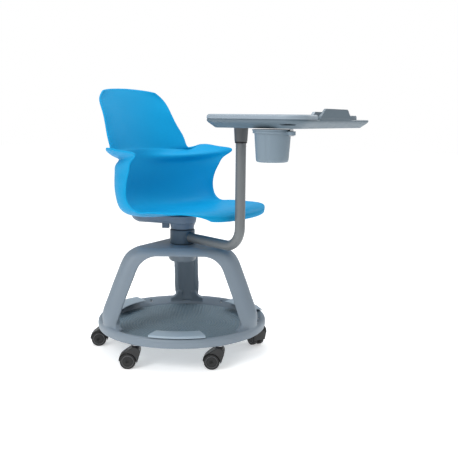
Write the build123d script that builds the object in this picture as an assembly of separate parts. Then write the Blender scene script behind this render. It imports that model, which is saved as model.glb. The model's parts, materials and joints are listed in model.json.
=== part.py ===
from build123d import *
import math
import os
import numpy as np

# Student desk chair: swivel seat shell, swinging worksurface arm, swing-out cup
# holder, three-legged open base with a storage tray, six twin-wheel casters.
# Millimetres, +Z up, floor at z = 0.  The sitter faces -Y, the sitter's left is +X.
# Pieces are drawn about the hub axis; save() moves them so that the origin is
# the centre of the footprint.

os.makedirs("parts", exist_ok=True)

SHIFT_X, SHIFT_Y = 9.258, 140.117     # hub axis from the centre of the footprint
RUN = 0.05                            # running clearance


# ---- helpers ---------------------------------------------------------
def save(name, shape):
    moved = [s.moved(Location((SHIFT_X, SHIFT_Y, 0))) for s in shape.solids()]
    export_step(moved[0] if len(moved) == 1 else Compound(moved), f"parts/{name}.step")


def largest(shape):
    """The largest solid of a boolean result."""
    return sorted(shape.solids(), key=lambda s: s.volume)[-1]


def fuse(pieces):
    total, *rest = pieces
    for piece in rest:
        total = total + piece
    return total


def polar(radius, degrees):
    angle = math.radians(degrees)
    return radius * math.cos(angle), radius * math.sin(angle)


def cyl(radius, z0, z1, x=0.0, y=0.0):
    align = (Align.CENTER, Align.CENTER, Align.MIN)
    return Pos(x, y, z0) * Cylinder(radius, z1 - z0, align=align)


def ring(outer_r, inner_r, z0, z1, x=0.0, y=0.0):
    return cyl(outer_r, z0, z1, x, y) - cyl(inner_r, z0 - 1, z1 + 1, x, y)


def headed_pin(shank, head, x, y):
    """Upright shank and head, each given as (radius, z0, z1)."""
    return cyl(*shank, x, y) + cyl(*head, x, y)


def poly_face(points):
    return make_face(Polyline(*points, close=True))


def radial_face(profile):
    """Face in the XZ plane from (radius, z) points."""
    return poly_face([(r, 0, z) for r, z in profile])


def rev(profile, angle=360):
    return revolve(radial_face(profile), Axis.Z, angle)


def prism_x(face, x0, length):
    """Extrude a (y, z) face toward +X."""
    return extrude(Plane(origin=(x0, 0, 0), x_dir=(0, 1, 0), z_dir=(1, 0, 0)) * face,
                   amount=length)


def prism_y(face, y0, length):
    """Extrude an (x, z) face toward +Y."""
    return extrude(Plane(origin=(0, y0, 0), x_dir=(1, 0, 0), z_dir=(0, -1, 0)) * face,
                   amount=-length)


# =====================================================================
#  Base: three raked legs rise from a round channel ring to a crown in
#  the form of a rounded triangle.  Drawn with one opening facing +X.
# =====================================================================
BASE_TURN = 215.0            # final heading of that opening, degrees from +X
TURN = Rot(0, 0, BASE_TURN)
LEG_AZ = (60, 180, 300)
OPENING_AZ = (0, 120, 240)
RING_TOP_Z = 107.0
RING_BOTTOM_Z = 74.6         # under the caster sockets
CROWN_TOP_Z = 353.0
ARCH_Z = 329.0               # top of the openings
ARCH_R = 68
FOOT_R = 22.0                # concave radius where a leg side meets the ring
FOOT_Z = RING_TOP_Z + FOOT_R
BOSS_R = 45.0
RIB_START = 40               # ribs run from this radius
LEG_RIB_END, OPENING_RIB_END = 158, 108
POST_R = 16.0
POST_SHOULDER_Z = 331
STUD_R = 12.0                # thinner ends of the post

CASTER_CIRCLE_R = 260.0
CASTER_AZ = [-30.0 + 60.0 * i for i in range(6)]
CASTER_STEM_R = 5.5

TRAY_R = 243.0
TRAY_Z, TRAY_T = 79.0, 2.5
CLIP_R = 2.5
CLIPS = [polar(236.5, 60 * i) for i in range(6)]

LIP_PIN_CIRCLE_R = 262.0
LIP_PIN_R = 3.5
LIP_PIN_AZ = (-13, 13)       # from the middle of the opening
LIP_SWEEP = 37

# z, corner reach, corner radius of the rounded-triangle sections
LEG_OUTER = [(96, 279, 52), (128, 281, 46), (157, 278, 42), (200, 260.5, 40),
             (260, 235.5, 38.5), (300, 218, 38), (326, 203, 37.5), (339, 189, 37),
             (347, 173, 36)]
LEG_INNER = [(60, 242, 40), (157, 244, 36), (260, 200, 36), (340, 152, 36)]
# across, z
OPENING = [(-207, 88), (-188, 146), (-172, 195), (-121.5, ARCH_Z),
           (121.5, ARCH_Z), (172, 195), (188, 146), (207, 88)]
# radius, z
RING_OUTER = [(279, 77), (281, 88), (281.3, 95), (280, 102), (276, 106.5),
              (271, RING_TOP_Z), (265, 104.5), (246.5, 86), (243.4, 82.0), (243.4, 79),
              (230, 79), (230, 76)]
RING_INNER = [(245, 77.5), (250, 81), (267.5, 98.5), (271.5, 101.5), (274.5, 100),
              (276.6, 94), (275, 77)]
LEG_CLIP = [(0, 60), (276.4, 60), (277.5, 94), (272, 104), (266, 101.5), (247.5, 84),
            (244.2, 80.4), (243.6, 77.0), (0, 77)]
FOOT = [(249.0, 90.0), (269.0, 104.0), (256.0, FOOT_Z), (239.0, FOOT_Z)]
BOSS = [(0, 321), (28, 321), (28, 295), (BOSS_R - 7, 295), (BOSS_R, 301),
        (BOSS_R + 4, 322), (BOSS_R + 8, 347), (0, 347)]
LIP = [(277.5, 108.2), (278, 112), (275, 115.5), (262, 116.2), (215, 113.8),
       (213, 112.3), (215, 110.6), (262, 112.6), (273, 111.6), (274.5, 108.6)]


def triangle_face(z, reach, corner_r):
    """Rounded triangle whose corners point along the legs."""
    arcs, ends = [], []
    for az in LEG_AZ:
        cx, cy = polar(reach - corner_r, az)
        points = []
        for k in (-60, 0, 60):
            dx, dy = polar(corner_r, az + k)
            points.append((cx + dx, cy + dy, z))
        arcs.append(ThreePointArc(*points))
        ends.append((points[0], points[2]))
    edges = []
    for i in range(3):
        edges += [arcs[i], Line(ends[i][1], ends[(i + 1) % 3][0])]
    return make_face(Wire(edges).edges())


def leg_body():
    """Tapered hollow body with its three arched openings."""
    outer = loft([triangle_face(*section) for section in LEG_OUTER])
    cap = extrude(triangle_face(*LEG_OUTER[-1]), amount=CROWN_TOP_Z - LEG_OUTER[-1][0],
                  taper=62)
    inner = loft([triangle_face(*section) for section in LEG_INNER])
    inner = inner - Pos(0, 0, 390) * Box(800, 800, 100)
    body = outer + cap - inner
    opening_face = poly_face(OPENING)
    opening_face = fillet(opening_face.vertices().sort_by(Axis.Y)[-2:], ARCH_R)
    opening = prism_x(opening_face, 50, 300)
    for az in OPENING_AZ:
        body = body - Rot(0, 0, az) * opening
    return body


def base_frame():
    ring_solid = rev(RING_OUTER + RING_INNER)
    ring_envelope = rev([(230, RING_BOTTOM_Z), (280, RING_BOTTOM_Z)] + RING_OUTER[:11])
    # the ring is a channel open below; the legs run down into it
    body = leg_body() - rev(LEG_CLIP)
    foot = Rot(0, 0, 46.3) * rev(FOOT, 10)
    hollow = Pos(240, 0, FOOT_Z) * (Rot(0, 90, 0) * Cylinder(FOOT_R, 120))
    foot = foot - Rot(0, 0, 46.6) * hollow
    mirrored_foot = mirror(foot, about=Plane.XZ)
    for az in OPENING_AZ:
        body = body + Rot(0, 0, az) * foot + Rot(0, 0, az) * mirrored_foot
    body = body + ring_solid
    for az in CASTER_AZ:
        x, y = polar(CASTER_CIRCLE_R, az)
        body = body + (cyl(14.0, RING_BOTTOM_Z, 106, x, y) & ring_envelope)
    # hub boss below the crown, with ribs toward the legs and openings
    body = body + rev(BOSS)
    for azimuths, end in ((LEG_AZ, LEG_RIB_END), (OPENING_AZ, OPENING_RIB_END)):
        for az in azimuths:
            rib = Pos((RIB_START + end) / 2, 0, 340) * Box(end - RIB_START, 4, 12)
            body = body + Rot(0, 0, az) * rib
    body = body - cyl(STUD_R, 300, 360) - cyl(POST_R, POST_SHOULDER_Z, 360)
    for az in CASTER_AZ:
        x, y = polar(CASTER_CIRCLE_R, az)
        body = body - cyl(CASTER_STEM_R + RUN, 60, 98, x, y)
    for az in OPENING_AZ:
        for k in LIP_PIN_AZ:
            x, y = polar(LIP_PIN_CIRCLE_R, az + k)
            body = body - cyl(LIP_PIN_R, 84, 110, x, y)
    for x, y in CLIPS:
        body = body - cyl(CLIP_R, 70, 84, x, y)
    return largest(body)


def storage_tray():
    """Disc with five rings of slots, alternate rings turned half a pitch."""
    face = Circle(TRAY_R - 0.2)
    slot_rings = ((6, 22), (10, 26), (14, 30), (18, 32), (22, 34))     # count, length
    for i, (count, length) in enumerate(slot_rings):
        offset = 0.5 * ((i + 1) % 2)
        slots = [Rot(0, 0, 360.0 * (k + offset) / count) * Pos(48 + 40 * i, 0)
                 * Rot(0, 0, 90) * SlotOverall(length, 6) for k in range(count)]
        face = face - slots
    tray = Pos(0, 0, TRAY_Z) * extrude(face, amount=TRAY_T)
    for x, y in CLIPS:
        tray = tray - cyl(CLIP_R, 70, 90, x, y)
    return largest(tray)


def entry_lip():
    """Raised ramp plate over the ring, centred on +X, with two pins."""
    lip = revolve(Rot(0, 0, -LIP_SWEEP / 2) * radial_face(LIP), Axis.Z, LIP_SWEEP)
    for k in LIP_PIN_AZ:
        x, y = polar(LIP_PIN_CIRCLE_R, k)
        lip = lip + cyl(5.5, 107.2, 113, x, y) + cyl(LIP_PIN_R, 90, 108, x, y)
    return largest(lip)


save("base_frame", TURN * base_frame())
save("storage_tray", TURN * storage_tray())
save("tray_clips", TURN * fuse(
    headed_pin((CLIP_R, 74.5, TRAY_Z + TRAY_T), (5.0, 73.4, 76.0), x, y) for x, y in CLIPS))
lip_solid = entry_lip()
for i, az in enumerate(OPENING_AZ):
    save(f"entry_lip_{i + 1}", TURN * (Rot(0, 0, az) * lip_solid))

# =====================================================================
#  Hub stack
# =====================================================================
THRUST_TOP_Z = 354.4
GROOVE_R = 11.0
GROOVE_Z0, GROOVE_Z1 = 428.05, 430.05
COLLAR_R = 41.0
BUSH_R = 21.0                # outside radius of the hub bushes
BUSH_L = 17.6
COLLAR_Z0, COLLAR_Z1 = THRUST_TOP_Z + RUN, 401.6
TOP_WASHER_Z1 = 404.0
NECK_Z0, NECK_Z1 = TOP_WASHER_Z1 + RUN, 423.0


def hub_post():
    post = cyl(POST_R, POST_SHOULDER_Z, 425) + cyl(STUD_R, 303, 440)
    post = post - ring(13, GROOVE_R, GROOVE_Z0, GROOVE_Z1)
    return chamfer(post.edges().filter_by(GeomType.CIRCLE).sort_by(Axis.Z)[-1], 1.0)


def hub_nut():
    hexagon = Pos(0, 0, 308) * extrude(RegularPolygon(21.0, 6), amount=11.0)
    return hexagon + cyl(24.0, 318.0, 321.0) - cyl(STUD_R, 300, 330)


save("hub_post", hub_post())
save("hub_thrust_washer", ring(38.0, POST_R, CROWN_TOP_Z, THRUST_TOP_Z))
save("hub_nut", hub_nut())
save("hub_retaining_ring", ring(19.0, GROOVE_R, GROOVE_Z0, GROOVE_Z1))

# =====================================================================
#  Arm: collar, bushes, bent tube, pivot stem and ring
# =====================================================================
ARM_HEADING = 256.0          # degrees from +X
ARM_REACH = 286.5            # hub axis to the upright of the tube
ARM_Z = 378.0
TUBE_R, TUBE_WALL = 15.5, 2.5
TUBE_START = 24.0
BEND_R = 62.0
TUBE_TOP_Z = 694.5
PIVOT_RING_R = 18.3
PIVOT_RING_Z1 = 699.5
PIVOT_R = 11.0               # upper part of the stem
PIVOT_X, PIVOT_Y = polar(ARM_REACH, ARM_HEADING)


def along_arm(shape):
    """Lay a shape drawn along +Z on the arm axis."""
    return Pos(0, 0, ARM_Z) * (Rot(0, 0, ARM_HEADING) * (Rot(0, 90, 0) * shape))


def arm_collar():
    collar = ring(COLLAR_R, BUSH_R, COLLAR_Z0, COLLAR_Z1)
    rims = [e for e in collar.edges().filter_by(GeomType.CIRCLE)
            if abs(e.radius - COLLAR_R) < 0.1]
    collar = fillet(rims, 2.5)
    port = along_arm(cyl(TUBE_R, TUBE_START, TUBE_START + 40))
    weld = along_arm(Pos(0, 0, 30) * Cone(TUBE_R + 5.5, TUBE_R + 1.2, 15,
                                          align=(Align.CENTER, Align.CENTER, Align.MIN)))
    return largest((collar + (weld - cyl(30, 340, 410))) - port)


def arm_tube():
    def on_arm(reach, z):
        return (*polar(reach, ARM_HEADING), z)

    bend_start = ARM_REACH - BEND_R
    half_bend = math.sin(math.radians(45))
    p0 = on_arm(TUBE_START, ARM_Z)
    p1 = on_arm(bend_start, ARM_Z)
    middle = on_arm(bend_start + BEND_R * half_bend, ARM_Z + BEND_R * (1 - half_bend))
    p2 = on_arm(ARM_REACH, ARM_Z + BEND_R)
    p3 = on_arm(ARM_REACH, TUBE_TOP_Z)
    path = Wire([Edge.make_line(p0, p1), Edge.make_three_point_arc(p1, middle, p2),
                 Edge.make_line(p2, p3)])
    section = Plane(origin=p0, z_dir=on_arm(1.0, 0)) * (
        Circle(TUBE_R) - Circle(TUBE_R - TUBE_WALL))
    return largest(sweep(section, path=path))


def pivot_ring():
    washer = ring(PIVOT_RING_R, PIVOT_R, TUBE_TOP_Z, PIVOT_RING_Z1, PIVOT_X, PIVOT_Y)
    rims = washer.edges().filter_by(
        lambda e: e.geom_type == GeomType.CIRCLE and abs(e.radius - PIVOT_RING_R) < 0.05)
    return fillet(rims, 0.8)


save("arm_collar", arm_collar())
save("collar_bushes", ring(BUSH_R, POST_R + RUN, COLLAR_Z0, COLLAR_Z0 + BUSH_L)
     + ring(BUSH_R, POST_R + RUN, COLLAR_Z1 - BUSH_L, COLLAR_Z1))
save("collar_top_washer", ring(38.5, POST_R + RUN, COLLAR_Z1, TOP_WASHER_Z1))
save("arm_tube", arm_tube())
save("pivot_stem", cyl(TUBE_R - TUBE_WALL, 640, TUBE_TOP_Z, PIVOT_X, PIVOT_Y)
     + cyl(PIVOT_R, TUBE_TOP_Z - 2, 738, PIVOT_X, PIVOT_Y))
save("pivot_ring", pivot_ring())

# =====================================================================
#  Worksurface, in its own frame: u to the sitter's left, v toward the
#  sitter, so the far edge is at v = FAR_V
# =====================================================================
TABLE_X, TABLE_Y = 20.5, -396.5
TABLE_TURN = 2.0
TABLE_L, TABLE_W = 504.0, 318.0
TABLE_CORNER = 60.0
TABLE_Z0 = 741.5
TABLE_SPLIT_Z = 766.0        # joint between shell and top
TABLE_Z1 = 779.0
STAND_Z = 796.0
FAR_V = -TABLE_W / 2
TABLE_PLACE = Pos(TABLE_X, TABLE_Y, 0) * Rot(0, 0, TABLE_TURN)

CUP_U, CUP_V = -189.0, -44.7
CUP_PIN_U, CUP_PIN_V = -199.5, -107.7
CUP_PIN_R = 5.0

# pivot axis in the table frame
turn_cos, turn_sin = polar(1.0, -TABLE_TURN)
pivot_dx, pivot_dy = PIVOT_X - TABLE_X, PIVOT_Y - TABLE_Y
SLEEVE_U = pivot_dx * turn_cos - pivot_dy * turn_sin
SLEEVE_V = pivot_dx * turn_sin + pivot_dy * turn_cos
SLEEVE_Z0 = PIVOT_RING_Z1 + RUN
SLEEVE_BORE_R = 14.0

SHELL_SCREWS = [(-198, 108), (0, 120), (198, 108), (198, -62), (20, -66), (-120, -58)]
FLANGE_SCREWS = [(SLEEVE_U + du, SLEEVE_V + dv)
                 for dv in (-4, -38) for du in (-26, 26)]

# z, inset from the plan outline
SHELL_OUTER = [(TABLE_Z0, 25.5), (744.0, 21.5), (755.5, 5.0), (759.0, 1.5),
               (761.5, 0.1), (763.5, 0.2), (TABLE_SPLIT_Z, 1.9)]
SHELL_INNER = [(745.0, 27.0), (747.0, 24.0), (761.5, 5.5), (TABLE_SPLIT_Z + 1, 4.5)]
TOP_RIM = [(TABLE_SPLIT_Z, 1.3), (767.0, 0.4)]
TOP_PLATE = [(767.0, 0.0), (772.5, 0.2), (775.6, 1.2), (777.8, 3.6), (TABLE_Z1, 7.5)]
# u, z
STAND_FRONT = [(-132, 762.0), (76, 762.0), (68, 775.0), (54, STAND_Z - 4),
               (48, STAND_Z - 0.6), (-90, STAND_Z), (-97, STAND_Z - 3), (-124, 775.0)]
RIDGE = [(-56, 777), (62, 777), (48, 788), (-42, 788)]
# v, z
STAND_SIDE = [(FAR_V - 1, 755), (FAR_V + 16, 755), (FAR_V + 13.5, 766), (FAR_V + 8, 780),
              (FAR_V + 9, STAND_Z + 1), (FAR_V + 1.8, STAND_Z + 1), (FAR_V + 0.6, 770),
              (FAR_V - 1, 765)]
# u, v
STRIP = [(-178, FAR_V + 4), (252 - 4, FAR_V + 4), (252 - 4, FAR_V + 64),
         (-128, FAR_V + 64), (-156, FAR_V + 50)]
TOP_CUT = [(-150, FAR_V - 5), (300, FAR_V - 5), (300, FAR_V + 60), (-104, FAR_V + 60),
           (-122, FAR_V + 54), (-134, FAR_V + 36), (-142, FAR_V + 12)]
# radius, z
SLEEVE = [(SLEEVE_BORE_R, SLEEVE_Z0), (18.7, SLEEVE_Z0), (19.1, 701.0), (21.5, 742.0),
          (21.5, 761.0), (0, 761.0), (0, 741.0), (SLEEVE_BORE_R, 741.0)]


def plan_outline(z, inset):
    return Pos(0, 0, z) * RectangleRounded(TABLE_L - 2 * inset, TABLE_W - 2 * inset,
                                           TABLE_CORNER - inset)


def stack(levels):
    """Straight-sided layers between (z, inset) levels."""
    return fuse(loft([plan_outline(*low), plan_outline(*high)], ruled=True)
                for low, high in zip(levels[:-1], levels[1:]))


def worksurface_shell():
    shell = stack(SHELL_OUTER) - stack(SHELL_INNER)
    # leaning trapezoid wall on the far rim
    stand = prism_y(poly_face(STAND_FRONT), FAR_V, 16)
    stand = stand & prism_x(poly_face(STAND_SIDE), -140, 260)
    # floor of the far strip, where the top is cut away
    strip = (extrude(Pos(0, 0, 763.0) * poly_face(STRIP), amount=3.0)
             & stack([(760.0, 3.0), (TABLE_SPLIT_Z, 3.0)]))
    shell = shell + strip + stand
    for u, v in SHELL_SCREWS:
        shell = shell + cyl(6.5, 744.5, 749.0, u, v)
    for u, v in SHELL_SCREWS:
        shell = shell - cyl(2.2, 740, 760, u, v) - cyl(4.8, 740, 744.4, u, v)
    shell = shell + cyl(10.0, 744.0, 760.0, CUP_PIN_U, CUP_PIN_V)
    shell = shell - cyl(CUP_PIN_R, 740, 756.0, CUP_PIN_U, CUP_PIN_V)
    shell = shell - cyl(22.0, 735, 764, SLEEVE_U, SLEEVE_V)
    # slot in the bevel at the far right corner
    slot_heading = 201
    slot_u, slot_v = polar(57, slot_heading)
    slot_place = Pos(-(TABLE_L / 2 - TABLE_CORNER) + slot_u,
                     -(TABLE_W / 2 - TABLE_CORNER) + slot_v, 752.5)
    shell = shell - slot_place * (Rot(0, 0, slot_heading) * Box(26, 42, 4.0))
    return largest(shell)


def worksurface_top():
    top = stack(TOP_RIM) + stack(TOP_PLATE)
    top = top - extrude(Pos(0, 0, 740) * poly_face(TOP_CUT), amount=60)
    # low ridge with ramped ends beside the strip, facing the stand
    top = top + prism_y(poly_face(RIDGE), FAR_V + 60, 9)
    for u, v in SHELL_SCREWS:
        top = top + cyl(5.0, 749.0, 768, u, v)
        top = top - cyl(2.0, 740, 763, u, v)
    for u, v in FLANGE_SCREWS:
        top = top + cyl(5.0, 761.0, 768, u, v)
        top = top - cyl(2.0, 740, 764, u, v)
    return largest(top)


def pivot_sleeve():
    sleeve = Pos(SLEEVE_U, SLEEVE_V, 0) * rev(SLEEVE)
    flange_face = Pos(SLEEVE_U, SLEEVE_V - 17, 758.0) * RectangleRounded(64, 56, 8)
    sleeve = sleeve + extrude(flange_face, amount=3.0)
    for u, v in FLANGE_SCREWS:
        sleeve = sleeve - cyl(2.2, 740, 765, u, v)
    return largest(sleeve)


save("worksurface_shell", TABLE_PLACE * worksurface_shell())
save("worksurface_top", TABLE_PLACE * worksurface_top())
save("pivot_sleeve", TABLE_PLACE * pivot_sleeve())
save("sleeve_bush", TABLE_PLACE * ring(SLEEVE_BORE_R, PIVOT_R + RUN, SLEEVE_Z0, 736.0,
                                       SLEEVE_U, SLEEVE_V))
save("sleeve_screws", TABLE_PLACE * fuse(
    headed_pin((2.0, 756.0, 763.5), (3.6, 755.6, 758.0), u, v) for u, v in FLANGE_SCREWS))
save("shell_screws", TABLE_PLACE * fuse(
    headed_pin((2.0, 743.0, 762), (4.4, 742.4, 744.4), u, v) for u, v in SHELL_SCREWS))

# =====================================================================
#  Cup holder, in the table frame
# =====================================================================
CUP_Z0, CUP_Z1 = 650.0, 739.0
CUP_NECK_R = 50.4            # cup radius under its rim
PIN_HEAD_Z1 = 724.0
BRACKET_TOP_Z = 734.9
CUP_RIM_Z = BRACKET_TOP_Z + RUN
# radius, z
CUP = [(0, CUP_Z0), (38.0, CUP_Z0), (42.6, 652.0), (44.8, 656.5), (CUP_NECK_R, CUP_RIM_Z),
       (55.6, CUP_RIM_Z), (56.5, 736.5), (56.2, CUP_Z1 - 0.6), (55.0, CUP_Z1),
       (49.2, CUP_Z1), (48.2, 737.5), (42.6, 657.0), (40.7, 653.6), (37.7, 652.4),
       (0, 652.4)]


def cup_bracket():
    du, dv = CUP_U - CUP_PIN_U, CUP_V - CUP_PIN_V
    length = math.hypot(du, dv)
    heading = math.degrees(math.atan2(dv, du))
    bar = Pos(length / 2 - 15, 0, 730.4) * Box(length - 22, 20, 7)
    bracket = cyl(11.5, PIN_HEAD_Z1 + RUN, 741.4, CUP_PIN_U, CUP_PIN_V)
    bracket = bracket + Pos(CUP_PIN_U, CUP_PIN_V, 0) * (Rot(0, 0, heading) * bar)
    bracket = bracket + cyl(54.5, 728.0, BRACKET_TOP_Z, CUP_U, CUP_V)
    # a thin slice parts off the top of the pin boss, and largest() drops it
    bracket = (bracket - ring(80.0, 0.1, BRACKET_TOP_Z, CUP_RIM_Z, CUP_U, CUP_V)
               - cyl(57.2, BRACKET_TOP_Z, 745, CUP_U, CUP_V))
    bracket = (bracket - cyl(CUP_NECK_R + RUN, 700, 760, CUP_U, CUP_V)
               - cyl(CUP_PIN_R + RUN, 700, 760, CUP_PIN_U, CUP_PIN_V))
    return largest(bracket)


save("cup_pivot_pin", TABLE_PLACE * headed_pin(
    (CUP_PIN_R, PIN_HEAD_Z1, 755.5), (8.0, 722.0, PIN_HEAD_Z1), CUP_PIN_U, CUP_PIN_V))
save("cup_bracket", TABLE_PLACE * cup_bracket())
save("cup", TABLE_PLACE * largest(Pos(CUP_U, CUP_V, 0) * rev(CUP)))

# =====================================================================
#  Seat: neck, shell, under-seat pan
# =====================================================================
SHELL_T = 6.0
NECK_TOP_R = 42.5
NECK = [(BUSH_R, NECK_Z0), (37.5, NECK_Z0), (38.2, 406), (39.5, 414),
        (NECK_TOP_R, NECK_Z1), (BUSH_R, NECK_Z1)]      # radius, z
SEAT_SCREWS = [(46, 60), (-46, 60), (0, 118)]

# Rows from the front lip to the top of the back.  Each row is the centre
# (forward, height), then three Bezier control points (forward, side, height).
SEAT_ROWS = [
    ((247,459),(247,60,459),(240,116,460),(226,144,465)),
    ((247,470),(247,70,470),(236,136,471),(217,161,474)),
    ((236,480),(236,80,480),(218,150,480),(200,182,481)),
    ((205,483),(205,80,482),(182,152,482),(164,196,484)),
    ((150,477),(150,80,475),(132,162,476),(120,206,483)),
    ((90,468),(90,80,465),(80,167,470),(75,213,482)),
    ((30,460),(30,80,457),(32,177,464),(35,217,480)),
    ((-30,455),(-30,85,451),(-5,187,456),(3,218,478)),
    ((-88,454),(-88,92,449),(-45,202,452),(-20,220,486)),
    ((-136,459),(-136,100,454),(-86,214,455),(-36,223,502)),
    ((-167,474),(-167,108,469),(-115,216,475),(-44,225,524)),
    ((-186,502),(-186,115,499),(-131,214,521),(-44,225,549)),
    ((-195,541),(-195,118,541),(-136,213,561),(-36,228,581)),
    ((-198,580),(-198,120,580),(-134,212,596),(-22,233,611)),
    ((-200,608),(-200,121,608),(-124,211,614),(-6,242,636)),
    ((-201,626),(-201,122,626),(-90,214,628),(20,251,657)),
    ((-202,640),(-202,122,638),(-102,214,634),(-32,249,665)),
    ((-203,650),(-203,125,647),(-126,206,640),(-85,249,671)),
    ((-204,657),(-204,123,655),(-148,192,650),(-114,233,668)),
    ((-206,664),(-206,120,663),(-161,173,658),(-131,197,660)),
    ((-211,690),(-211,110,690),(-170,167,690),(-146,188,690)),
    ((-219,735),(-219,100,735),(-189,156,735),(-169,177,735)),
    ((-231,790),(-231,92,790),(-209,144,788),(-194,166,787)),
    ((-243,838),(-243,84,837),(-229,132,832),(-217,155,827)),
    ((-250,860),(-250,62,859),(-241,106,856),(-230,129,850)),
]
SEAT_CONTROL = np.array([[(r[0][0], 0, r[0][1]), r[1], r[2], r[3]] for r in SEAT_ROWS], float)
row_gaps = np.linalg.norm(np.diff(SEAT_CONTROL[:, [0, 3]], axis=0), axis=2).mean(axis=1)
SEAT_KNOTS = np.concatenate([[0], np.cumsum(np.maximum(row_gaps, 6) ** 0.7)])
SEAT_KNOTS /= SEAT_KNOTS[-1]


def natural_spline(knots, values, x):
    """Natural cubic spline through values at knots, evaluated at x."""
    count = len(knots)
    gap = np.diff(knots)
    matrix = np.zeros((count, count))
    right = np.zeros((count,) + values.shape[1:])
    matrix[0, 0] = matrix[-1, -1] = 1
    for i in range(1, count - 1):
        matrix[i, i - 1] = gap[i - 1]
        matrix[i, i] = 2 * (gap[i - 1] + gap[i])
        matrix[i, i + 1] = gap[i]
        right[i] = 6 * ((values[i + 1] - values[i]) / gap[i]
                        - (values[i] - values[i - 1]) / gap[i - 1])
    second = np.linalg.solve(matrix, right.reshape(count, -1)).reshape(right.shape)
    k = np.clip(np.searchsorted(knots, x) - 1, 0, count - 2)
    spread = (slice(None),) + (None,) * (values.ndim - 1)
    a = ((knots[k + 1] - x) / gap[k])[spread]
    b = ((x - knots[k]) / gap[k])[spread]
    step = gap[k][spread]
    bend = (a ** 3 - a) * second[k] + (b ** 3 - b) * second[k + 1]
    return a * values[k] + b * values[k + 1] + bend * step ** 2 / 6


def seat_points(u, v):
    """Mid-surface grid: u from front lip to back top, v from -1 (right) to 1 (left)."""
    control = natural_spline(SEAT_KNOTS, SEAT_CONTROL, u)
    side = np.where(v < 0, -1.0, 1.0)
    w = np.abs(v)
    weights = np.stack([(1 - w) ** 3, 3 * w * (1 - w) ** 2, 3 * w * w * (1 - w), w ** 3], 1)
    grid = np.einsum("vk,ukc->uvc", weights, control)
    # forward becomes -Y, side becomes +X
    return np.stack([grid[..., 1] * side[None, :], -grid[..., 0], grid[..., 2]], -1)


def seat_normals(u, v):
    """Unit normals on the sitter's side, by central differences."""
    e = 1e-3
    u = np.clip(u, 0.004, 0.996)
    v = np.clip(v, -0.985, 0.985)
    along_u = seat_points(u + e, v) - seat_points(u - e, v)
    along_v = seat_points(u, v + e) - seat_points(u, v - e)
    normal = np.cross(along_v, along_u)
    return normal / np.linalg.norm(normal, axis=-1, keepdims=True)


ROWS, COLUMNS = 49, 25
grid_u, grid_v = np.linspace(0, 1, ROWS), np.linspace(-1, 1, COLUMNS)
seat_mid = seat_points(grid_u, grid_v)
seat_offset = seat_normals(grid_u, grid_v) * SHELL_T / 2
seat_upper, seat_lower = seat_mid + seat_offset, seat_mid - seat_offset

# the pan stops just below the lowest point of the seat above it
over_pan = ((np.abs(seat_lower[..., 0]) < 82) & (seat_lower[..., 1] > -45)
            & (seat_lower[..., 1] < 155))
PAN_TOP = float(seat_lower[over_pan][:, 2].min()) - 0.3
PAN_Z0 = NECK_Z1
PAN_BEVEL_Z = PAN_Z0 + 9


def seat_wall():
    """Ruled strips on both sides of the wall, closed along the rim."""
    def vector(p):
        return Vector(*(float(c) for c in p))

    def row_spline(grid, i):
        return Edge.make_spline([vector(p) for p in grid[i]])

    def rung(i, j):
        return Edge.make_line(vector(seat_upper[i, j]), vector(seat_lower[i, j]))

    ruled = Face.make_surface_from_curves
    faces = [ruled(row_spline(seat_upper, i), row_spline(seat_lower, i))
             for i in (0, ROWS - 1)]
    for i in range(ROWS - 1):
        for grid in (seat_upper, seat_lower):
            faces.append(ruled(row_spline(grid, i), row_spline(grid, i + 1)))
        for j in (0, COLUMNS - 1):
            faces.append(ruled(rung(i, j), rung(i + 1, j)))
    return Solid(Shell(faces))


def underside_z(x, y):
    """Height of the grid point of the seat underside nearest to x, y."""
    distance = (seat_lower[..., 0] - x) ** 2 + (seat_lower[..., 1] - y) ** 2
    nearest = np.argmin(distance + 1e6 * (seat_lower[..., 2] > 520))    # skip the back
    return float(seat_lower.reshape(-1, 3)[nearest][2])


def seat_shell():
    shell = seat_wall()
    for x, y in SEAT_SCREWS:
        z = underside_z(x, y)
        shell = (shell + cyl(9.0, PAN_TOP, z + 2.5, x, y)
                 - cyl(2.5, PAN_TOP - 1, z + 0.8, x, y))
    return largest(shell)


def pan_face(z, nose_r, corner_r, half_width):
    """Hull of a nose circle about the hub and two rear corner circles."""
    corner_x, corner_y = half_width - corner_r, 163 - corner_r
    edges = list(Circle(nose_r).edges())
    for x in (corner_x, -corner_x):
        edges += list((Pos(x, corner_y) * Circle(corner_r)).edges())
    return Pos(0, 0, z) * make_hull(edges)


def under_seat_pan():
    pan = loft([pan_face(PAN_Z0, 44, 36, 76), pan_face(PAN_BEVEL_Z, 46, 38, 88)], ruled=True)
    pan = pan + loft([pan_face(PAN_BEVEL_Z, 46, 38, 88), pan_face(PAN_TOP, 47, 38, 95)],
                     ruled=True)
    # slope under the rear edge
    wedge = poly_face([(112, 415), (170, 415), (170, 440), (150, 437)])
    pan = pan - prism_x(wedge, -120, 240)
    # open pocket round the post end
    pan = pan - cyl(30, 425.0, 500)
    # hollow lug beside the neck
    lug_place = Pos(-26, 37, 0)
    lug_turn = Rot(0, 0, 125)
    lug = lug_place * (lug_turn * (Pos(10, 0, 414.5) * Box(24, 22, 19)))
    lug = lug - lug_place * (lug_turn * (Pos(13, 0, 413.5) * Box(24, 15, 12)))
    lug = lug - cyl(NECK_TOP_R + 0.7, 390, NECK_Z1)
    pan = pan + lug
    for x, y in SEAT_SCREWS:
        pan = pan - cyl(2.7, 400, 470, x, y) - cyl(5.6, 400, 429, x, y)
    return largest(pan - cyl(BUSH_R, 400, 426))


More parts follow.
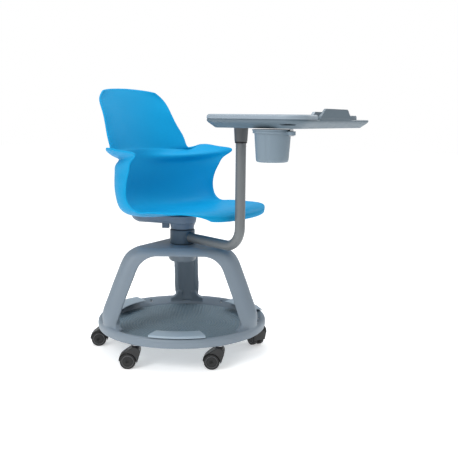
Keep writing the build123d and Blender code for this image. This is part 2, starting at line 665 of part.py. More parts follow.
save("seat_neck", rev(NECK))
save("seat_bush", ring(BUSH_R, POST_R + RUN, NECK_Z0, 424.5))
save("under_seat_pan", under_seat_pan())
save("seat_shell", seat_shell())
save("seat_screws", fuse(
    headed_pin((2.5, 427.0, underside_z(x, y) + 0.6), (5.0, 426.0, 429.0), x, y)
    for x, y in SEAT_SCREWS))

# =====================================================================
#  Casters: stem axis on Z, wheel centre CASTER_TRAIL along +X
# =====================================================================
CASTER_TRAIL = 23.0
TRAIL_HEADINGS = [127.0, 121.0, 64.0, 112.0, 138.0, 131.0]     # degrees from +X
WHEEL_R, WHEEL_W = 25.0, 16.5
WHEEL_INNER_Y = 4.9
AXLE_R = 3.0
# radius, distance outward from the inner face
WHEEL = [(AXLE_R, 0.0), (21.0, 0.0), (24.2, 0.6), (WHEEL_R, 2.2), (WHEEL_R, 12.5),
         (23.6, 15.4), (20.6, WHEEL_W), (19.4, WHEEL_W), (18.6, 15.3), (17.2, 15.3),
         (16.4, WHEEL_W - 0.4), (9.0, WHEEL_W + 0.2), (AXLE_R, WHEEL_W + 0.2)]


def on_axle(shape, y=0.0, tilt=90):
    return Pos(CASTER_TRAIL, y, WHEEL_R) * Rot(tilt, 0, 0) * shape


def caster_hood():
    profile = make_hull((Pos(CASTER_TRAIL, WHEEL_R) * Circle(29.0)).edges()
                        + (Pos(2, 53) * Circle(17.5)).edges())
    hood = extrude(Plane.XZ * profile, amount=21.5, both=True)
    hood = hood - Pos(CASTER_TRAIL, 0, 10.5) * Box(90, 60, 23)
    hood = hood & (Pos(6, 0, 0) * extrude(Ellipse(50, 24.5), amount=90))
    for side in (-1, 1):
        hood = hood - on_axle(Cylinder(26.6, 30), side * (4.2 + 15))
    hood = hood + cyl(12.5, 48, 71.5)
    hood = hood - cyl(CASTER_STEM_R, 50, 80)
    return largest(hood - on_axle(Cylinder(AXLE_R + RUN, 60)))


def caster_stem():
    stem = cyl(CASTER_STEM_R, 50, 96.0) + cyl(9.5, 71.5, 73.6)
    return chamfer(stem.edges().filter_by(GeomType.CIRCLE).sort_by(Axis.Z)[-1], 1.0)


wheel = rev(WHEEL)
caster_pieces = {
    "stem": caster_stem(),
    "hood": caster_hood(),
    "axle": on_axle(Cylinder(AXLE_R, 38.0)),
    "wheel_a": largest(on_axle(wheel, WHEEL_INNER_Y, -90)),
    "wheel_b": largest(on_axle(wheel, -WHEEL_INNER_Y, 90)),
}
for i, (az, heading) in enumerate(zip(CASTER_AZ, TRAIL_HEADINGS)):
    x, y = polar(CASTER_CIRCLE_R, az + BASE_TURN)
    place = Pos(x, y, 0) * Rot(0, 0, heading)
    for name, piece in caster_pieces.items():
        save(f"caster{i + 1}_{name}", place * piece)
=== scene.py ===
# Swivel chair on a round six-caster base: shell seat, storage tray, side arm with a
# worksurface and a cup holder. Metres, +Z up, floor at z = 0. The seat turns about the
# vertical axis at HUB, its front edge faces -Y and its backrest rises on the +Y side.
import json
import math
import bpy
import bmesh
import numpy as np
from mathutils import Vector, Matrix


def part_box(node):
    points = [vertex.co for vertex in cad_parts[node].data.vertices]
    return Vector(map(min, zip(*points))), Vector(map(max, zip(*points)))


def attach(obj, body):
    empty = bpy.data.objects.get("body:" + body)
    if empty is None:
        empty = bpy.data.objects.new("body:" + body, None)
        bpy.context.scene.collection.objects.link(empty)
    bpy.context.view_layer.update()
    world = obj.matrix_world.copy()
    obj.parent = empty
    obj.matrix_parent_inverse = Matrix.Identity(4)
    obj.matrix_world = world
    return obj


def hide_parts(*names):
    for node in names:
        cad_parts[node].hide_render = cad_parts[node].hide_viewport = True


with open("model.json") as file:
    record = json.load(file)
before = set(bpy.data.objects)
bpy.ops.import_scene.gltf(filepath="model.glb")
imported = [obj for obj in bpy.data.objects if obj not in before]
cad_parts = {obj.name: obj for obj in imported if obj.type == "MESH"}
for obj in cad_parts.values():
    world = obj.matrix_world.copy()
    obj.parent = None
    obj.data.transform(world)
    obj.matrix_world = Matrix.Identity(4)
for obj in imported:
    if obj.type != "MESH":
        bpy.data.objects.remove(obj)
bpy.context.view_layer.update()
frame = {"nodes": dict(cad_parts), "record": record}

NODES = frame["nodes"]
RECORD = frame["record"]
JOINTS = {joint["name"]: joint for joint in RECORD["behaviour"]["joints"]}
BODY = {node: body for body, nodes in RECORD["behaviour"]["bodies"].items() for node in nodes}
SLOT = {part["node"]: part["material_slot"] for part in RECORD["subparts"]}
SCENE = bpy.context.scene

HUB = Vector(JOINTS["seat_swivel"]["pos_m"])
CASTERS = range(1, 7)

# Level directions as the camera sees them; it stands on the -X, -Y side.
VIEW_RIGHT = Vector((0.574, -0.819, 0.0)).normalized()
VIEW_AWAY = Vector((0.819, 0.574, 0.0)).normalized()
UP = Vector((0, 0, 1))


# ---------------------------------------------------------------------------
# Shader helpers
# ---------------------------------------------------------------------------

def set_inputs(tree, node, inputs):
    """Link each input that is given a socket and set the others to their value."""
    for key, value in inputs.items():
        if isinstance(value, bpy.types.NodeSocket):
            tree.links.new(value, node.inputs[key])
        else:
            node.inputs[key].default_value = value


def add_node(tree, kind, inputs, **settings):
    node = tree.nodes.new("ShaderNode" + kind)
    for key, value in settings.items():
        setattr(node, key, value)
    set_inputs(tree, node, inputs)
    return node


def new_material(name):
    """Returns the material, its tree, its Principled shader and its object coordinates."""
    material = bpy.data.materials.new(name)
    material.use_nodes = True
    tree = material.node_tree
    tree.nodes.clear()
    output = add_node(tree, "OutputMaterial", {})
    shader = add_node(tree, "BsdfPrincipled", {})
    tree.links.new(shader.outputs[0], output.inputs[0])
    coords = add_node(tree, "TexCoord", {}).outputs["Object"]
    return material, tree, shader, coords


def noise(tree, vector, **inputs):
    return add_node(tree, "TexNoise", {"Vector": vector, **inputs}).outputs["Fac"]


def map_range(tree, value, low, high, from_low=0.0, from_high=1.0):
    return add_node(tree, "MapRange", {
        "Value": value, "From Min": from_low, "From Max": from_high,
        "To Min": low, "To Max": high}).outputs[0]


def mix_colour(tree, factor, first, second):
    # Sockets 0, 6 and 7 are the factor and the two colours; output 2 is the colour.
    mix = add_node(tree, "Mix", {0: factor, 6: first, 7: second}, data_type="RGBA")
    return mix.outputs[2]


def bevel_normal(tree, radius, samples):
    return add_node(tree, "Bevel", {"Radius": radius}, samples=samples).outputs[0]


def bump(tree, **inputs):
    return add_node(tree, "Bump", inputs).outputs[0]


def srgb(red, green, blue):
    """Linear RGBA from 8-bit sRGB."""
    def linear(channel):
        channel = channel / 255.0
        if channel <= 0.04045:
            return channel / 12.92
        return ((channel + 0.055) / 1.055) ** 2.4
    return (linear(red), linear(green), linear(blue), 1.0)


def toned(colour, gain, lift=0.0):
    """The colour multiplied by gain and raised by lift, kept within 1."""
    return tuple(min(1.0, c * gain + lift) for c in colour[:3]) + (1.0,)


# ---------------------------------------------------------------------------
# Materials
# ---------------------------------------------------------------------------

def edge_highlight(tree, rounded):
    """Mask for the painted edge highlight: 0 on flats, rising where the rounded normal leaves
    the true one.
    """
    geometry = add_node(tree, "NewGeometry", {})
    match = add_node(tree, "VectorMath", {0: rounded, 1: geometry.outputs["Normal"]},
                     operation="DOT_PRODUCT").outputs["Value"]
    return map_range(tree, match, low=0.0, high=1.0, from_low=1.0, from_high=0.75)


def plastic(name, rgb, roughness, grain, tone_spread, grain_depth=0.00012,
            edge_radius=0.0018, highlight_rgb=None, specular=0.45):
    """Moulded plastic: mottled tone, edges painted lighter in patches as a painted highlight,
    soft scuffs and a fine grain.
    """
    material, tree, shader, coords = new_material(name)
    colour = srgb(*rgb)

    mottle = noise(tree, coords, Scale=9.0, Detail=3.0, Roughness=0.55)
    tone = map_range(tree, mottle, low=1.0 - tone_spread, high=1.0 + tone_spread)
    body = add_node(tree, "HueSaturation", {"Color": colour, "Value": tone}).outputs[0]

    rounded = bevel_normal(tree, edge_radius, samples=6)
    # Painted highlight: the rounded edges are mixed toward a lighter edge colour, broken up by
    # noise patches.
    highlight_mask = edge_highlight(tree, rounded)
    patches = noise(tree, coords, Scale=60.0, Detail=4.0, Roughness=0.6)
    highlight_amount = add_node(tree, "Math", {0: highlight_mask, 1: patches}, operation="MULTIPLY").outputs[0]
    edge = srgb(*highlight_rgb) if highlight_rgb else toned(colour, gain=1.25, lift=0.01)

    # The scuff pattern is compressed along z.
    squeezed = add_node(tree, "Mapping", {0: coords, "Scale": (1.0, 1.0, 4.0)}).outputs[0]
    scuffs = noise(tree, squeezed, Scale=35.0, Detail=6.0, Roughness=0.7)

    cells = add_node(tree, "TexVoronoi", {"Vector": coords, "Scale": 1.0 / grain})
    specks = noise(tree, coords, Scale=0.6 / grain, Detail=3.0)
    relief = add_node(tree, "Math", {0: cells.outputs["Distance"], 1: specks},
                      operation="ADD").outputs[0]
    set_inputs(tree, shader, {
        "Base Color": mix_colour(tree, highlight_amount, body, edge),
        "Roughness": map_range(tree, scuffs, low=roughness - 0.05, high=roughness + 0.09,
                               from_low=0.3, from_high=0.75),
        "Specular IOR Level": specular,
        "Normal": bump(tree, Strength=0.35, Distance=grain_depth, Height=relief,
                       Normal=rounded)})
    return material


def powder_coat(name, rgb, roughness, metallic):
    """Powder coat: uneven tone, fine sparkle in the gloss and an orange-peel ripple."""
    material, tree, shader, coords = new_material(name)
    colour = srgb(*rgb)
    mottle = noise(tree, coords, Scale=14.0, Detail=4.0)
    sparkle = noise(tree, coords, Scale=900.0, Detail=2.0)
    peel = noise(tree, coords, Scale=420.0, Detail=2.0, Roughness=0.4)
    rounded = bevel_normal(tree, radius=0.0012, samples=4)
    set_inputs(tree, shader, {
        "Base Color": mix_colour(tree, mottle, toned(colour, gain=0.93),
                                 toned(colour, gain=1.07)),
        "Metallic": metallic,
        "Roughness": map_range(tree, sparkle, low=roughness - 0.07, high=roughness + 0.1),
        "Normal": bump(tree, Strength=0.3, Distance=0.00015, Height=peel,
                       Normal=rounded)})
    return material


def plated_steel(name, colour, roughness):
    """Plated steel with fine turning marks stacked along z."""
    material, tree, shader, coords = new_material(name)
    stretched = add_node(tree, "Mapping", {0: coords, "Scale": (40, 40, 2600)}).outputs[0]
    marks = noise(tree, stretched, Scale=1.0, Detail=3.0)
    set_inputs(tree, shader, {
        "Base Color": mix_colour(tree, marks, toned(colour, gain=0.85), colour),
        "Metallic": 1.0,
        "Roughness": map_range(tree, marks, low=roughness - 0.06, high=roughness + 0.12),
        "Normal": bump(tree, Strength=0.2, Distance=0.00005, Height=marks)})
    return material


# name: (sRGB colour, roughness, grain size, tone spread, other settings)
# The edge colours among the other settings are painted highlights along the rounded edges.
PLASTICS = {
    "seat_blue_pp": ((0, 142, 194), 0.50, 0.0011, 0.03, {
        "grain_depth": 0.00010, "edge_radius": 0.00225, "highlight_rgb": (30, 175, 222),
        "specular": 0.14}),
    "base_grey_pp": ((118, 130, 141), 0.46, 0.0013, 0.04, {"edge_radius": 0.00225}),
    # The lips are the base grey painted lighter: painted light on their flat, upward-facing
    # tops.
    "lip_painted_light_grey_pp": ((146, 162, 174), 0.42, 0.0012, 0.04, {}),
    "tray_grey_pp": ((104, 122, 133), 0.50, 0.0012, 0.06, {}),
    "top_grey_abs": ((134, 147, 158), 0.44, 0.0009, 0.03, {"grain_depth": 0.00008}),
    "shell_grey_abs": ((86, 102, 113), 0.46, 0.0012, 0.04, {}),
    "cup_grey_pp": ((112, 128, 140), 0.42, 0.0011, 0.04, {}),
    "hub_grey_pp": ((66, 84, 98), 0.50, 0.0012, 0.06, {}),
    "neck_grey_pp": ((88, 107, 127), 0.50, 0.0012, 0.06, {}),
    "pan_grey_pp": ((92, 110, 129), 0.50, 0.0014, 0.05, {}),
    "sleeve_grey_pp": ((84, 87, 89), 0.45, 0.0010, 0.04, {}),
    "black_nylon": ((16, 16, 18), 0.42, 0.0010, 0.10, {"highlight_rgb": (46, 46, 48)}),
    "caster_nylon": ((20, 20, 21), 0.36, 0.0009, 0.10, {
        "highlight_rgb": (58, 58, 60), "specular": 0.5}),
    "caster_tread": ((24, 24, 25), 0.55, 0.0012, 0.12, {"highlight_rgb": (52, 52, 54)}),
    # Light grey for the wheel rings: a painted highlight on the wheels' rounded faces.
    "caster_highlight_ring": ((88, 88, 90), 0.40, 0.0008, 0.08, {}),
}
MATERIALS = {name: plastic(name, *columns, **extras)
             for name, (*columns, extras) in PLASTICS.items()}
MATERIALS["arm_powder_grey"] = powder_coat(
    "arm_powder_grey", rgb=(106, 110, 112), roughness=0.42, metallic=0.25)
MATERIALS["zinc_steel"] = plated_steel(
    "zinc_steel", colour=(0.62, 0.62, 0.63, 1.0), roughness=0.3)

# CAD material slot: material
SLOT_MATERIALS = {
    "seat_blue": "seat_blue_pp",
    "base_grey": "base_grey_pp",
    "lip_grey": "lip_painted_light_grey_pp",
    "surface_grey": "top_grey_abs",
    "trim_grey": "shell_grey_abs",
    "collar_grey": "hub_grey_pp",
    "arm_grey": "arm_powder_grey",
    "sleeve_grey": "sleeve_grey_pp",
    "black_plastic": "black_nylon",
    "caster_black": "caster_nylon",
    "steel": "zinc_steel",
}
# CAD nodes whose material differs from that of their slot
NODE_MATERIALS = {"seat_neck": "neck_grey_pp"}
NODE_MATERIALS.update({f"caster{i}_axle": "black_nylon" for i in CASTERS})


def finish_cad_nodes():
    for name, node in NODES.items():
        material = NODE_MATERIALS.get(name, SLOT_MATERIALS[SLOT[name]])
        node.data.materials.clear()
        node.data.materials.append(MATERIALS[material])


# ---------------------------------------------------------------------------
# Mesh helpers
# ---------------------------------------------------------------------------

def shade_smooth(mesh):
    mesh.polygons.foreach_set("use_smooth", [True] * len(mesh.polygons))


def link_object(name, mesh):
    piece = bpy.data.objects.new(name, mesh)
    SCENE.collection.objects.link(piece)
    return piece


def make_mesh(name, verts, faces):
    mesh = bpy.data.meshes.new(name)
    mesh.from_pydata([tuple(map(float, v)) for v in verts], [],
                     [tuple(map(int, f)) for f in faces])
    mesh.validate()
    mesh.update()
    return mesh


def add_piece(name, verts, faces, material, body):
    """A smooth moving piece with its face normals made consistent."""
    mesh = make_mesh(name, verts, faces)
    piece = link_object(name, mesh)
    shade_smooth(mesh)
    mesh.materials.append(MATERIALS[material])
    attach(piece, body)
    bm = bmesh.new()
    bm.from_mesh(mesh)
    bmesh.ops.recalc_face_normals(bm, faces=bm.faces)
    bm.to_mesh(mesh)
    bm.free()
    return piece


def soften(node, name, material, voxel, rounds, factor=0.5):
    """Replace a CAD node by its own shape with edges and inner corners rounded over."""
    source = link_object("tmp_" + node, NODES[node].data.copy())
    remesh = source.modifiers.new("remesh", "REMESH")
    remesh.mode = "VOXEL"
    remesh.voxel_size = voxel
    remesh.adaptivity = 0.0
    smooth = source.modifiers.new("smooth", "SMOOTH")
    smooth.factor = factor
    smooth.iterations = rounds

    bpy.context.view_layer.update()
    depsgraph = bpy.context.evaluated_depsgraph_get()
    mesh = bpy.data.meshes.new_from_object(source.evaluated_get(depsgraph))
    mesh.name = name
    mesh.materials.clear()
    mesh.materials.append(MATERIALS[material])
    shade_smooth(mesh)
    piece = link_object(name, mesh)
    bpy.data.objects.remove(source)
    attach(piece, BODY[node])
    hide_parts(node)


def ring_quads(first, second):
    """Quads joining two closed rings of vertex indices."""
    count = len(first)
    return [(first[k], second[k], second[(k + 1) % count], first[(k + 1) % count])
            for k in range(count)]


def ring_frame(axis):
    """Unit axis and the two directions across it from which lathe angles run."""
    along = Vector(axis).normalized()
    across = along.orthogonal().normalized()
    return along, across, along.cross(across)


def lathe(name, profile, centre, axis, material, body, slot, segments, radius_at=None):
    """Turn a profile of (radius, height) about the axis.

    A profile that starts on the axis must also end there; any other is closed up.
    radius_at(radius, height, angle) may vary the radius round the turn.
    """
    along, across, third = ring_frame(axis)
    verts, faces, rows = [], [], []
    for radius, height in profile:
        if radius == 0:
            rows.append([len(verts)])
            verts.append(centre + along * height)
            continue
        rows.append(range(len(verts), len(verts) + segments))
        for k in range(segments):
            angle = 2 * math.pi * k / segments
            reach = radius_at(radius, height, angle) if radius_at else radius
            verts.append(centre + along * height + across * (reach * math.cos(angle))
                         + third * (reach * math.sin(angle)))
    following = rows[1:]
    if profile[0][0] > 0:
        following.append(rows[0])
    for a, b in zip(rows, following):
        if len(a) == 1:
            faces += [(a[0], b[k], b[(k + 1) % segments]) for k in range(segments)]
        elif len(b) == 1:
            faces += [(a[k], b[0], a[(k + 1) % segments]) for k in range(segments)]
        else:
            faces += ring_quads(a, b)
    return add_piece(name, verts, faces, material, body)


# ---------------------------------------------------------------------------
# Seat shell: one smooth skin with a rounded rim
# ---------------------------------------------------------------------------
# Half cross-sections from the front edge of the pan to the top of the backrest, each
# the four control points of a cubic Bezier from the centre line out to the rim.
# Millimetres: (toward -Y from the hub, out from the centre line, height); the
# centre-line point leaves out its middle value, which is 0.
SEAT_SECTIONS = [
    ((247, 459), (247, 60, 459), (240, 116, 460), (226, 144, 465)),
    ((247, 470), (247, 70, 470), (236, 136, 471), (217, 161, 474)),
    ((236, 480), (236, 80, 480), (218, 150, 480), (200, 182, 481)),
    ((205, 483), (205, 80, 482), (182, 152, 482), (164, 196, 484)),
    ((150, 477), (150, 80, 475), (132, 162, 476), (120, 206, 483)),
    ((90, 468), (90, 80, 465), (80, 167, 470), (75, 213, 482)),
    ((30, 460), (30, 80, 457), (32, 177, 464), (35, 217, 480)),
    ((-30, 455), (-30, 85, 451), (-5, 187, 456), (3, 218, 478)),
    ((-88, 454), (-88, 92, 449), (-45, 202, 452), (-20, 220, 486)),
    ((-136, 459), (-136, 100, 454), (-86, 214, 455), (-36, 223, 502)),
    ((-167, 474), (-167, 108, 469), (-115, 216, 475), (-44, 225, 524)),
    ((-186, 502), (-186, 115, 499), (-131, 214, 521), (-44, 225, 549)),
    ((-195, 541), (-195, 118, 541), (-136, 213, 561), (-36, 228, 581)),
    ((-198, 580), (-198, 120, 580), (-134, 212, 596), (-22, 233, 611)),
    ((-200, 608), (-200, 121, 608), (-124, 211, 614), (-6, 242, 636)),
    ((-201, 626), (-201, 122, 626), (-90, 214, 628), (20, 251, 657)),
    ((-202, 640), (-202, 122, 638), (-102, 214, 634), (-32, 249, 665)),
    ((-203, 650), (-203, 125, 647), (-126, 206, 640), (-85, 249, 671)),
    ((-204, 657), (-204, 123, 655), (-148, 192, 650), (-114, 233, 668)),
    ((-206, 664), (-206, 120, 663), (-161, 173, 658), (-131, 197, 660)),
    ((-211, 690), (-211, 110, 690), (-170, 167, 690), (-146, 188, 690)),
    ((-219, 735), (-219, 100, 735), (-189, 156, 735), (-169, 177, 735)),
    ((-231, 790), (-231, 92, 790), (-209, 144, 788), (-194, 166, 787)),
    ((-243, 838), (-243, 84, 837), (-229, 132, 832), (-217, 155, 827)),
    ((-250, 860), (-250, 62, 859), (-241, 106, 856), (-230, 129, 850)),
]
SEAT_THICKNESS = 0.0058
SEAT_ROWS, SEAT_COLUMNS = 230, 150   # grid front to top, and side to side
RIM_STEPS = 5                        # steps round the rim from upper to lower skin
RIM_BULGE = 0.62                     # how far the rim stands out, in thicknesses
RIM_INSET = 6                        # grid cells inward to the point that tells in from out
KNOT_MIN_GAP, KNOT_POWER = 6, 0.7    # least gap (mm) and evening-out of the knot spacing


def natural_spline(knots, points, samples):
    """Natural cubic spline through a (knot, point, xyz) array."""
    count = len(knots)
    gaps = np.diff(knots)
    system = np.zeros((count, count))
    target = np.zeros(points.shape)
    system[0, 0] = system[-1, -1] = 1
    for i in range(1, count - 1):
        system[i, i - 1:i + 2] = gaps[i - 1], 2 * (gaps[i - 1] + gaps[i]), gaps[i]
        target[i] = 6 * ((points[i + 1] - points[i]) / gaps[i]
                         - (points[i] - points[i - 1]) / gaps[i - 1])
    bend = np.linalg.solve(system, target.reshape(count, -1)).reshape(target.shape)
    span = np.clip(np.searchsorted(knots, samples) - 1, 0, count - 2)
    gap = gaps[span][:, None, None]
    a = (knots[span + 1] - samples)[:, None, None] / gap
    b = (samples - knots[span])[:, None, None] / gap
    return (a * points[span] + b * points[span + 1]
            + ((a ** 3 - a) * bend[span] + (b ** 3 - b) * bend[span + 1]) * gap ** 2 / 6)


SEAT_CONTROLS = np.array(
    [((centre[0], 0, centre[1]), *others) for centre, *others in SEAT_SECTIONS], float)
# Knots are spaced by how far the centre line and the rim travel between sections.
travel = np.linalg.norm(np.diff(SEAT_CONTROLS[:, [0, 3]], axis=0), axis=2).mean(axis=1)
SEAT_KNOTS = np.concatenate([[0], np.cumsum(np.maximum(travel, KNOT_MIN_GAP) ** KNOT_POWER)])
SEAT_KNOTS /= SEAT_KNOTS[-1]


def seat_points(along, across):
    """Mid-surface grid; along runs 0 to 1 front to top, across -1 to 1 toward +X."""
    controls = natural_spline(SEAT_KNOTS, SEAT_CONTROLS, along)
    side = np.where(across < 0, -1.0, 1.0)
    w = np.abs(across)
    weights = np.stack([(1 - w) ** 3, 3 * w * (1 - w) ** 2, 3 * w * w * (1 - w), w ** 3], 1)
    section = np.einsum("vk,ukc->uvc", weights, controls)
    points = np.stack([section[..., 1] * side, -section[..., 0], section[..., 2]], -1)
    points /= 1000.0   # millimetres to metres
    points[..., 0] += HUB.x
    points[..., 1] += HUB.y
    return points


def unit(vectors):
    return vectors / np.linalg.norm(vectors, axis=-1, keepdims=True)


def seat_normals(along, across):
    """Upward unit normals, sampled just inside the edges of the surface."""
    step = 1e-3
    u = np.clip(along, 0.004, 0.996)
    v = np.clip(across, -0.985, 0.985)
    slope_u = seat_points(u + step, v) - seat_points(u - step, v)
    slope_v = seat_points(u, v + step) - seat_points(u, v - step)
    return unit(np.cross(slope_v, slope_u))


def blend_neighbours(ring):
    return np.roll(ring, 1, 0) + 2 * ring + np.roll(ring, -1, 0)


def rim_outward(middle, normals, rows, columns):
    """Unit directions pointing out of the surface along its boundary."""
    edge = middle[rows, columns]
    lift = normals[rows, columns]
    for _ in range(3):
        lift = unit(blend_neighbours(lift))
    tangent = np.roll(edge, -1, 0) - np.roll(edge, 1, 0)
    for _ in range(2):
        tangent = blend_neighbours(tangent)
    outward = unit(np.cross(tangent, lift))
    inner = middle[np.clip(rows, RIM_INSET, SEAT_ROWS - 1 - RIM_INSET),
                   np.clip(columns, RIM_INSET, SEAT_COLUMNS - 1 - RIM_INSET)]
    flip = np.sign(-(outward * (inner - edge)).sum(1))
    flip[flip == 0] = 1
    return outward * flip[:, None]


def build_seat():
    along = np.linspace(0, 1, SEAT_ROWS)
    across = np.linspace(-1, 1, SEAT_COLUMNS)
    middle = seat_points(along, across)
    normals = seat_normals(along, across)
    half = normals * SEAT_THICKNESS / 2
    verts = [*(middle + half).reshape(-1, 3), *(middle - half).reshape(-1, 3)]

    lower = SEAT_ROWS * SEAT_COLUMNS   # index offset from upper to lower skin
    faces = []
    for i in range(SEAT_ROWS - 1):
        for j in range(SEAT_COLUMNS - 1):
            a = i * SEAT_COLUMNS + j
            b, c, d = a + 1, a + SEAT_COLUMNS + 1, a + SEAT_COLUMNS
            faces.append((a, b, c, d))
            faces.append((lower + d, lower + c, lower + b, lower + a))

    # Grid places once round the boundary
    last_row, last_column = SEAT_ROWS - 1, SEAT_COLUMNS - 1
    boundary = ([(0, j) for j in range(last_column)]
                + [(i, last_column) for i in range(last_row)]
                + [(last_row, j) for j in range(last_column, 0, -1)]
                + [(i, 0) for i in range(last_row, 0, -1)])
    rows, columns = np.array(boundary).T
    edge = middle[rows, columns]
    edge_normals = normals[rows, columns]
    outward = rim_outward(middle, normals, rows, columns)
    upper_ring = rows * SEAT_COLUMNS + columns
    rings = [upper_ring]
    for k in range(1, RIM_STEPS):
        angle = math.pi * k / RIM_STEPS
        rings.append(np.arange(len(verts), len(verts) + len(boundary)))
        verts += list(edge + edge_normals * math.cos(angle) * SEAT_THICKNESS / 2
                      + outward * math.sin(angle) * SEAT_THICKNESS * RIM_BULGE)
    rings.append(upper_ring + lower)
    for first, second in zip(rings, rings[1:]):
        faces += ring_quads(first, second)
    seat = add_piece("seat_skin", verts, faces, "seat_blue_pp", "seat")
    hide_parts("seat_shell")


# ---------------------------------------------------------------------------
# Softened mouldings
# ---------------------------------------------------------------------------
# CAD node, new name, material, voxel size, smoothing rounds, smoothing factor
MOULDINGS = [
    ("base_frame", "base_moulding", "base_grey_pp", 0.0022, 10, 0.6),
    # The lips take the grey that is painted lighter for the light on their flat tops.
    *[(f"entry_lip_{i}", f"lip_moulding_{i}", "lip_painted_light_grey_pp", 0.0011, 5, 0.5)
      for i in (1, 2, 3)],
    ("under_seat_pan", "pan_moulding", "pan_grey_pp", 0.0014, 5, 0.5),
    ("arm_collar", "collar_moulding", "hub_grey_pp", 0.0009, 3, 0.5),
    ("cup_bracket", "bracket_moulding", "cup_grey_pp", 0.0009, 3, 0.5),
    ("pivot_sleeve", "sleeve_moulding", "sleeve_grey_pp", 0.0009, 2, 0.5),
]


# ---------------------------------------------------------------------------
# Storage tray: a disc with rings of dimples in its top
# ---------------------------------------------------------------------------
TRAY_SEGMENTS = 720
DIMPLE_PITCH = 0.0098        # between rings of dimples
STEPS_PER_PITCH = 5          # mesh rings to one dimple ring
DIMPLE_STRETCH = 1.15        # length and spacing round the ring, against across it
DIMPLE_RADIUS = 0.0043
DIMPLE_DEPTH = 0.0023
DIMPLE_POWER = 0.6           # below 1 flattens the dimple floor
FIRST_DIMPLE_RING = 0.010
PLAIN_CENTRE = 0.016         # radius left without dimples
PLAIN_RIM = 0.009            # width left without dimples
RIM_STEP_WIDTH, RIM_STEP_DROP = 0.004, 0.0006
UNDERSIDE_RING = 0.5         # inner ring of the underside, as a share of the radius


def dimple_amount(radius, angle, tray_radius):
    """1 at the middle of a dimple, 0 on plain tray; odd rings are staggered."""
    ring = np.round((radius - FIRST_DIMPLE_RING) / DIMPLE_PITCH)
    ring_radius = FIRST_DIMPLE_RING + ring * DIMPLE_PITCH
    spacing = DIMPLE_PITCH * DIMPLE_STRETCH
    count = np.maximum(np.round(2 * math.pi * ring_radius / spacing), 6)
    phase = angle * count / (2 * math.pi) + 0.5 * (ring % 2)
    round_ring = (phase - np.round(phase)) * 2 * math.pi * ring_radius / count
    distance = np.sqrt((radius - ring_radius) ** 2 + (round_ring / DIMPLE_STRETCH) ** 2)
    amount = np.clip(1 - (distance / DIMPLE_RADIUS) ** 2, 0, 1) ** DIMPLE_POWER
    amount[(radius < PLAIN_CENTRE) | (radius > tray_radius - PLAIN_RIM)] = 0
    return amount


def build_tray():
    low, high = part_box("storage_tray")
    centre_x, centre_y = (low[0] + high[0]) / 2, (low[1] + high[1]) / 2
    tray_radius = (high[0] - low[0]) / 2
    bottom, top = low[2], high[2]

    ring_count = int(round(tray_radius / DIMPLE_PITCH * STEPS_PER_PITCH))
    angles = np.arange(TRAY_SEGMENTS) * 2 * math.pi / TRAY_SEGMENTS
    radii = np.linspace(0, tray_radius, ring_count + 1)
    radius, angle = np.meshgrid(radii, angles, indexing="ij")
    height = (top - DIMPLE_DEPTH * dimple_amount(radius, angle, tray_radius)
              - RIM_STEP_DROP * (radius > tray_radius - RIM_STEP_WIDTH))
    surface = np.stack([centre_x + radius * np.cos(angle),
                        centre_y + radius * np.sin(angle), height], -1)
    verts = [(centre_x, centre_y, top), *surface[1:].reshape(-1, 3)]
    for reach in (tray_radius, tray_radius * UNDERSIDE_RING):
        verts += [(centre_x + reach * math.cos(t), centre_y + reach * math.sin(t), bottom)
                  for t in angles]
    verts.append((centre_x, centre_y, bottom))

    # Top rings from the centre out, then the two underside rings
    rings = [range(1 + i * TRAY_SEGMENTS, 1 + (i + 1) * TRAY_SEGMENTS)
             for i in range(ring_count + 2)]
    inner, final = rings[0], rings[-1]
    faces = [(0, inner[k], inner[(k + 1) % TRAY_SEGMENTS]) for k in range(TRAY_SEGMENTS)]
    for first, second in zip(rings, rings[1:]):
        faces += ring_quads(first, second)
    faces += [(len(verts) - 1, final[(k + 1) % TRAY_SEGMENTS], final[k])
              for k in range(TRAY_SEGMENTS)]
    tray = add_piece("tray_mesh", verts, faces, "tray_grey_pp", "base")
    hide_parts("storage_tray")


# ---------------------------------------------------------------------------
# Cup: turned wall with a shallow upright recess on the camera side
# ---------------------------------------------------------------------------
# (radius, height above the cup's bottom)
CUP_OUTER = [
    (0.037, 0.0), (0.0412, 0.0008), (0.0434, 0.0028), (0.0446, 0.0062),
    (0.0453, 0.012), (0.0475, 0.045), (0.0495, 0.075), (0.05035, 0.0845),
]
CUP_RIM_OUTER = [
    (0.0515, 0.0849), (0.0550, 0.0850), (0.0561, 0.0856), (0.0565, 0.0868),
    (0.0562, 0.0881),
]
CUP_RIM_TOP = (0.0554, 0.0505)   # outer and inner radius of the flat top
CUP_INNER = [
    (0.0492, 0.0882), (0.0484, 0.0865), (0.0476, 0.075), (0.0455, 0.045),
    (0.0430, 0.010), (0.0418, 0.0052), (0.0397, 0.0032), (0.037, 0.0024), (0, 0.0024),
]
RECESS_TURN = math.radians(-22)            # about z, from the direction of the camera
RECESS_DEPTH = 0.0009
RECESS_HALF_ANGLE, RECESS_SIDE_FADE = 0.10, 0.03      # radians
RECESS_BOTTOM, RECESS_TOP = 0.004, 0.083
RECESS_BOTTOM_FADE, RECESS_TOP_FADE = 0.006, 0.004
OUTER_WALL_TOLERANCE = 0.0006              # tells the outer wall from the inner one


def recess_angle():
    _, across, third = ring_frame(UP)
    direction = Matrix.Rotation(RECESS_TURN, 3, "Z") @ -VIEW_AWAY
    return math.atan2(direction.dot(third), direction.dot(across)) % (2 * math.pi)


